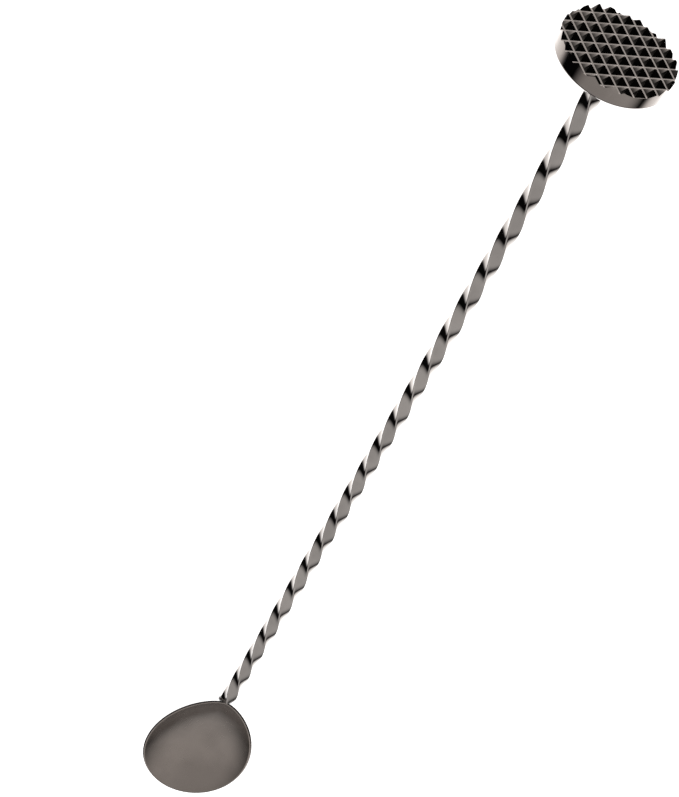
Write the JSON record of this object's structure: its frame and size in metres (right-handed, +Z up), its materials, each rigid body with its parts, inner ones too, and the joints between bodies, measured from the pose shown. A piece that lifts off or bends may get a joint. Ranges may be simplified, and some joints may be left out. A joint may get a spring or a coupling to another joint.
{
  "type": "muddler",
  "caption": "Bar spoon with a teardrop bowl, a twisted square stem and a round muddling head faced with pointed spikes.",
  "frame": {"origin": "centre of the bounding box's base, on the surface the spoon lies on", "axes": "+X from the bowl to the muddling head, nearly along the stem; +Z up, out of the open side of the bowl"},
  "size_m": [0.2971, 0.0296, 0.0258],
  "materials": {
    "bowl_metal": "polished",
    "stem_metal": "polished",
    "head_metal": "polished",
    "bowl_filler": "gloss",
    "head_filler": "gloss"
  },
  "bodies": {
    "root": {"spoon_bowl": "bowl_metal", "twisted_stem": "stem_metal", "muddler_head": "head_metal", "bowl_braze": "bowl_filler", "head_braze": "head_filler"}
  },
  "joints": []
}
